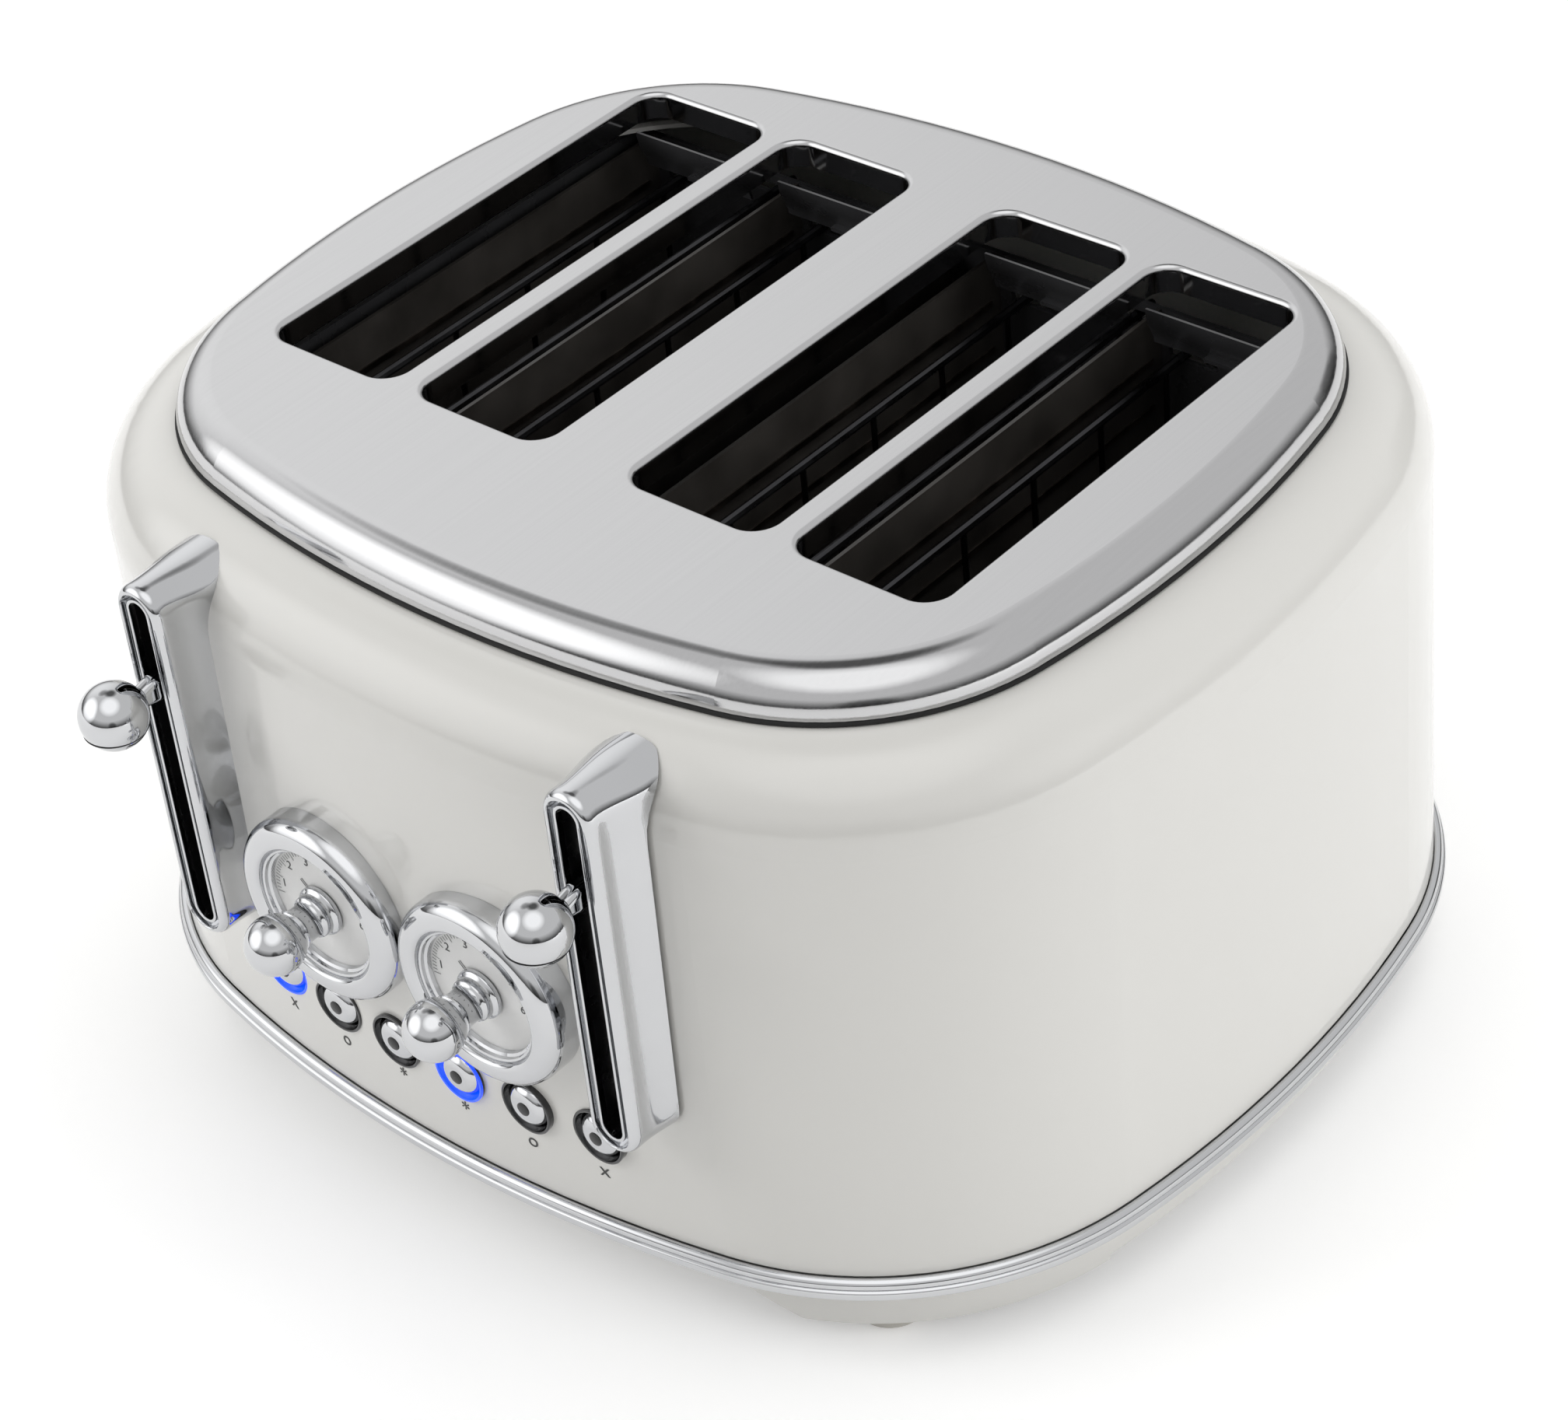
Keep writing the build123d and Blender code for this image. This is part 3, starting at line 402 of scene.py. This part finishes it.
# The bar's sides from the wall forwards, as shares of their depth
BAR_SHARES = (1.0, 0.88, 0.76, 0.64, 0.52, 0.4, 0.28, 0.16, 0.06)
BAR_SUNK, BAR_HIGHEST = 0.6, 160.5
FLARE, FLARE_START, FLARE_END = 2.4, 4.0, 19.0
# Half widths and depths from the bar's edge over its face and groove into the slot
FACE_PROFILE = ((7.0, 2.4), (6.93, 1.75), (6.7, 1.1), (6.35, 0.6), (5.95, 0.25), (5.5, 0.05), (5.2, 0.03),
                (5.05, 0.2), (5.0, 0.5), (5.0, 2.0), (3.85, 2.0), (3.72, 1.85), (3.7, 0.8), (3.6, 0.58),
                (3.4, 0.5), (3.1, 0.5), (2.9, 0.6), (2.82, 0.85), (2.8, 1.5), (2.8, 2.2))
LINER_PROFILE = ((3.3, 2.1), (2.8, 2.2), (2.8, 10.0), (3.3, 10.0))
# The seam's height is a share of the ball's radius, below its middle
BALL_SEAM_SHARE, BALL_SEAM_HALF = -0.42, 0.12
BALL_SEAM_SIDES, BALL_SEAM_STEPS = 6, 64


def ease(value, start, end):
    """Rise from 0 at the start to 1 at the end, level at both."""
    part = min(1.0, max(0.0, (value - start) / (end - start)))
    return part * part * (3 - 2 * part)


def racetrack(half, bottom, top, turns=16, runs=22):
    """Points (x, z) round an upright slot shape, whose half round ends have these centres."""
    points = []
    for side, start, end in ((1, top, bottom), (-1, bottom, top)):
        for step in range(turns + 1):
            turn = math.pi * step / turns
            points.append((side * half * math.cos(turn), start + side * half * math.sin(turn)))
        for step in range(1, runs):
            points.append((-side * half, start + (end - start) * step / runs))
    return points


def dress_lever(hand):
    """Make a lever's bar, liner and ball seam."""
    low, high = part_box(f"lever_bezel_{hand}")
    x, front_y = (low.x + high.x) / 2, low.y
    bottom, top = low.z / MM + BAR_HALF, high.z / MM - BAR_HALF
    bow = FRONT_RADIUS - math.sqrt(FRONT_RADIUS ** 2 - (x / MM) ** 2)
    foot = middle_y / MM - HALF_DEPTH + bow + BAR_SUNK - front_y / MM

    def loops_of(profile):
        return [[(x + px * MM, front_y + depth * MM, pz * MM) for px, pz in racetrack(half, bottom, top)]
                for half, depth in profile]

    loops = []
    for share in BAR_SHARES:
        loop = []
        for (px, pz), (ex, _) in zip(racetrack(BAR_HALF, bottom, top), racetrack(1.0, bottom, top)):
            wall = foot + shell_inset(min(pz, BAR_HIGHEST))
            depth = BAR_FACE + share * (wall - BAR_FACE)
            grow = FLARE * ease(depth, FLARE_START, FLARE_END)
            loop.append((x + (px + grow * ex) * MM, front_y + depth * MM, pz * MM))
        loops.append(loop)
    bm = bmesh.new()
    grid(bm, loops + loops_of(FACE_PROFILE))
    bar = piece(f"lever_bar_{hand}", bm, chrome, "housing")
    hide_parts(f"lever_bezel_{hand}")

    bm = bmesh.new()
    grid(bm, loops_of(LINER_PROFILE), closed_profile=True)
    piece(f"lever_liner_{hand}", bm, black, "housing")

    low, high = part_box(f"lever_knob_{hand}")
    mid = (low + high) / 2
    ball = (high.x - low.x) / 2
    around = ball * math.sqrt(1 - BALL_SEAM_SHARE ** 2)
    rings = []
    for side in range(BALL_SEAM_SIDES):
        turn = 2 * math.pi * side / BALL_SEAM_SIDES
        radius = around + BALL_SEAM_HALF * MM * math.cos(turn)
        height = mid.z + BALL_SEAM_SHARE * ball + BALL_SEAM_HALF * MM * math.sin(turn)
        angles = [2 * math.pi * step / BALL_SEAM_STEPS for step in range(BALL_SEAM_STEPS)]
        rings.append([(mid.x + radius * math.cos(a), mid.y + radius * math.sin(a), height) for a in angles])
    bm = bmesh.new()
    grid(bm, rings, closed_profile=True)
    piece(f"lever_seam_{hand}", bm, black, f"carriage_{hand}")


for hand in HANDS:
    dress_dial(hand)
    dress_lever(hand)


# Buttons: a dark dot on each, which is a painted reflection of dark surroundings in the chrome dome, a collar
# round it that is lit or not, and a plain sign below

BUTTON_PROUD = 1.2
LIT = (1, 4)
REFLECTION_DOT_PROFILE = ((1.8, -0.5), (1.8, 0.12), (1.5, 0.26), (0.6, 0.34), (0.02, 0.36))
REFLECTION_DOT_SEGMENTS = 40
COLLAR_PROFILE = ((6.1, -4.0), (6.1, -1.0), (6.3, -0.6), (6.7, -0.1), (6.78, 0.5), (7.05, 0.6), (7.3, 0.56),
                  (7.45, 0.4), (7.46, 0.0))
COLLAR_SEGMENTS = 56
SYMBOLS = ("x", "o", "*", "*", "o", "x")
SYMBOL_BELOW, SYMBOL_SUNK, SYMBOL_SIZE = 11.0, 0.12, 5.6

lit, unlit, signs = bmesh.new(), bmesh.new(), bmesh.new()
for number, symbol in enumerate(SYMBOLS, start=1):
    low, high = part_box(f"button_{number}")
    mid = (low + high) / 2
    bm = bmesh.new()
    # The black dot on the dome is a painted reflection: it stands in for the dark surroundings that the
    # chrome mirrors
    lathe(bm, (mid.x, low.y, mid.z), REFLECTION_DOT_PROFILE, REFLECTION_DOT_SEGMENTS)
    piece(f"button_dark_reflection_{number}", bm, black, f"button_{number}")
    panel = low.y + BUTTON_PROUD * MM
    lathe(lit if number in LIT else unlit, (mid.x, panel, mid.z), COLLAR_PROFILE, COLLAR_SEGMENTS)
    spot = Vector((mid.x, panel + SYMBOL_SUNK * MM, mid.z - SYMBOL_BELOW * MM))
    add_text(signs, symbol, SYMBOL_SIZE, spot, math.asin(mid.x / (FRONT_RADIUS * MM)))
glow = piece("glow_lit", lit, blue_glow, "housing")
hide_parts("glow_rings")
piece("glow_unlit", unlit, smoke, "housing")
piece("button_symbols", signs, symbol_ink, "housing", smooth=False)


# Sheet guides at the ends of the bread bays, above the guards, each with a tab and a dimple

SLOT_CENTRES = (-80.15, -32.65, 32.65, 80.15)
FRONT_WALL = -51.4
GUIDE_HALF, GUIDE_SHEET = 17.5, 0.7
# Where each guide's points lie across it, as shares of its half width
GUIDE_ACROSS = (-1.0, -0.98, 0.98, 1.0)
# Distances from the end plate and heights
GUIDE_PATH = ((0.1, 156.6), (0.4, 158.2), (1.4, 160.4), (2.7, 163.4), (3.3, 166.0), (3.4, 167.4))
TAB_SIZE, TAB_ASIDE, TAB_OUT, TAB_HEIGHT = (11, 2.6, 1.0), 4, 2.2, 158.4
DIMPLE_RADIUS, DIMPLE_FLAT, DIMPLE_ASIDE, DIMPLE_OUT, DIMPLE_HEIGHT = 1.5, 0.5, 6, 0.1, 141
DIMPLE_SEGMENTS, DIMPLE_RINGS = 20, 12

rear_low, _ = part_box("rear_plate")
bm = bmesh.new()
for centre in SLOT_CENTRES:
    x = centre * MM
    for wall, inward in ((rear_low.y, -1), (FRONT_WALL * MM, 1)):
        outline = list(GUIDE_PATH) + [(out + GUIDE_SHEET, z) for out, z in reversed(GUIDE_PATH)]
        grid(bm, [[(x + share * GUIDE_HALF * MM, wall + inward * out * MM, z * MM) for share in GUIDE_ACROSS]
                  for out, z in outline], closed_ring=False, closed_profile=True)
        tab = bmesh.ops.create_cube(bm, size=1.0)["verts"]
        bmesh.ops.scale(bm, vec=[size * MM for size in TAB_SIZE], verts=tab)
        spot = (x + TAB_ASIDE * MM, wall + inward * TAB_OUT * MM, TAB_HEIGHT * MM)
        bmesh.ops.translate(bm, vec=spot, verts=tab)
        dimple = bmesh.ops.create_uvsphere(bm, u_segments=DIMPLE_SEGMENTS, v_segments=DIMPLE_RINGS,
                                           radius=DIMPLE_RADIUS * MM)["verts"]
        bmesh.ops.scale(bm, vec=(1, DIMPLE_FLAT, 1), verts=dimple)
        spot = (x + DIMPLE_ASIDE * MM, wall + inward * DIMPLE_OUT * MM, DIMPLE_HEIGHT * MM)
        bmesh.ops.translate(bm, vec=spot, verts=dimple)
piece("bay_guides", bm, enamel, "housing")


# Camera at the photograph's viewing angle, in metres

AZIMUTH, ELEVATION, ROLL = math.radians(43.53), math.radians(37.33), math.radians(-6.04)
TARGET = Vector((-0.01098, 0.02156, 0.0550))
DISTANCE = 0.9887
FOCAL_LENGTH, SENSOR_WIDTH, NEAR_CLIP = 89.59, 36.0, 0.01

back = Vector((math.sin(AZIMUTH) * math.cos(ELEVATION), -math.cos(AZIMUTH) * math.cos(ELEVATION),
               math.sin(ELEVATION)))
level_right = Vector((math.cos(AZIMUTH), math.sin(AZIMUTH), 0))
level_up = back.cross(level_right)
right = level_right * math.cos(ROLL) + level_up * math.sin(ROLL)
up = level_up * math.cos(ROLL) - level_right * math.sin(ROLL)
lens = bpy.data.cameras.new("camera")
lens.lens = FOCAL_LENGTH
lens.sensor_width = SENSOR_WIDTH
lens.sensor_fit = "HORIZONTAL"
lens.clip_start = NEAR_CLIP
camera = bpy.data.objects.new("camera", lens)
turned = Matrix((right, up, back)).transposed().to_4x4()
camera.matrix_world = Matrix.Translation(TARGET + back * DISTANCE) @ turned
scene.collection.objects.link(camera)
scene.camera = camera


# Lamps, which light the surfaces and leave the reflections to the sky

LAMP_AIM = Vector((0, 0, 0.08))
# Name, place, width and height in metres, and power in watts
LAMPS = (
    ("key", (-1.5, -1.2, 1.3), (1.4, 1.0), 13.0),
    ("top", (0.2, 0.7, 2.1), (1.8, 1.2), 6.0),
    ("side", (2.0, 0.3, 0.9), (1.2, 1.2), 13.0),
)
for name, place, size, power in LAMPS:
    light = bpy.data.lights.new(name, "AREA")
    light.shape = "RECTANGLE"
    light.size, light.size_y = size
    light.energy = power
    lamp = bpy.data.objects.new(name, light)
    lamp.location = place
    lamp.rotation_euler = (LAMP_AIM - Vector(place)).to_track_quat("-Z", "Y").to_euler()
    lamp.visible_glossy = False
    scene.collection.objects.link(lamp)


# Sky: white to look at, soft and dimmer from the front as light, and shaded for the metal to reflect

WHITE, WARM_WHITE = (1, 1, 1, 1), (1.0, 0.995, 0.985, 1)
# The reflected sky brightens from the horizon up to this rise
SKY_RISE, SKY_LOW, SKY_HIGH = 0.32, 0.12, 0.80
# Direction, inner and outer angle from it in degrees, level at its middle, and how that joins the sky
PATCHES = (
    ((-0.26, 0.27, 0.93), 8, 17, 0.16, "MULTIPLY"),
    ((-0.55, 0.13, 0.82), 5, 13, 0.25, "MULTIPLY"),
    ((0.69, -0.70, 0.05), 7, 14, 0.30, "MULTIPLY"),
    ((0.25, 0.96, 0.10), 8, 14, 0.35, "MULTIPLY"),
    ((-0.70, -0.65, 0.42), 20, 32, 1.1, "ADD"),
    ((-0.80, 0.32, 0.50), 4, 36, 0.42, "ADD"),
    ((0.25, -0.30, 0.92), 18, 34, 0.7, "ADD"),
)
DIM_SIDE = (0.69, -0.72, 0.05)
DIM_START, DIM_END, DIM_HIGH, DIM_LOW = -0.1, 0.9, 0.74, 0.22

world = bpy.data.worlds.new("studio")
scene.world = world
world.use_nodes = True
sky = world.node_tree
sky.nodes.clear()
rays = add_node(sky, "ShaderNodeLightPath", {}).outputs
heading = add_node(sky, "ShaderNodeTexCoord", {}).outputs["Generated"]


def towards(direction):
    """How nearly a ray heads in a direction: 1 along it, 0 across it and -1 against it."""
    way = Vector(direction).normalized()
    return add_node(sky, "ShaderNodeVectorMath", {0: heading, 1: way}, "DOT_PRODUCT").outputs["Value"]


def patch(shade, direction, inner, outer, level, mode):
    """Darken (MULTIPLY) or brighten (ADD) the sky round a direction, fading between two angles from it."""
    unchanged = 1.0 if mode == "MULTIPLY" else 0.0
    edge = add_range(sky, towards(direction), math.cos(math.radians(outer)), math.cos(math.radians(inner)),
                     unchanged, level)
    return add_node(sky, "ShaderNodeMath", {0: shade, 1: edge}, mode).outputs["Value"]


def background(colour, strength):
    """A background's shader."""
    node = add_node(sky, "ShaderNodeBackground", {"Color": colour, "Strength": strength})
    return node.outputs["Background"]


def mixed(share, first, second):
    """A mix of two shaders: the first at a share of 0, and the second at 1."""
    return add_node(sky, "ShaderNodeMixShader", {"Fac": share, 1: first, 2: second}).outputs["Shader"]


rise = add_node(sky, "ShaderNodeSeparateXYZ", {"Vector": heading}).outputs["Z"]
shade = add_range(sky, rise, 0.0, SKY_RISE, SKY_LOW, SKY_HIGH)
for values in PATCHES:
    shade = patch(shade, *values)
dim = add_range(sky, towards(DIM_SIDE), DIM_START, DIM_END, DIM_HIGH, DIM_LOW)
light_or_mirror = mixed(rays["Is Glossy Ray"], background(WARM_WHITE, dim), background(WHITE, shade))
seen = add_node(sky, "ShaderNodeMath", {0: rays["Is Camera Ray"], 1: rays["Is Transmission Ray"]}, "MAXIMUM")
whole = mixed(seen.outputs["Value"], light_or_mirror, background(WHITE, 1.0))
add_node(sky, "ShaderNodeOutputWorld", {"Surface": whole})


# Floor: pale, with a little light of its own where it is seen or mirrored, and fading to white far away

FLOOR_HALF = 2.5
FLOOR_GLOW = 0.26
FADE_START, FADE_END, FADE_GLOW = 0.5, 1.6, 0.6

floor_mat = surface("floor", linear(250, 250, 250), 0.9, vary=0.004, grain=2.0, bump=0.01, specular=0.1)
tree = floor_mat.node_tree
rays = add_node(tree, "ShaderNodeLightPath", {}).outputs
seen = add_node(tree, "ShaderNodeMath", {0: rays["Is Camera Ray"], 1: rays["Is Glossy Ray"]}, "MAXIMUM")
near = add_node(tree, "ShaderNodeMath", {0: seen.outputs["Value"], 1: FLOOR_GLOW}, "MULTIPLY")
place = add_node(tree, "ShaderNodeTexCoord", {}).outputs["Object"]
reach = add_node(tree, "ShaderNodeVectorMath", {0: place}, "LENGTH")
far = add_range(tree, reach.outputs["Value"], FADE_START, FADE_END, 0.0, FADE_GLOW)
strength = add_node(tree, "ShaderNodeMath", {
    0: far, 1: rays["Is Camera Ray"], 2: near.outputs["Value"]}, "MULTIPLY_ADD")
pale = add_node(tree, "ShaderNodeEmission", {"Strength": strength.outputs["Value"]})
both = add_node(tree, "ShaderNodeAddShader", {
    0: tree.nodes["Principled BSDF"].outputs["BSDF"], 1: pale.outputs["Emission"]})
tree.links.new(both.outputs["Shader"], tree.nodes["Material Output"].inputs["Surface"])

bm = bmesh.new()
bmesh.ops.create_grid(bm, x_segments=2, y_segments=2, size=FLOOR_HALF)
mesh = bpy.data.meshes.new("floor")
bm.to_mesh(mesh)
bm.free()
mesh.materials.append(floor_mat)
floor = bpy.data.objects.new("floor", mesh)
scene.collection.objects.link(floor)

scene.view_settings.view_transform = "Standard"
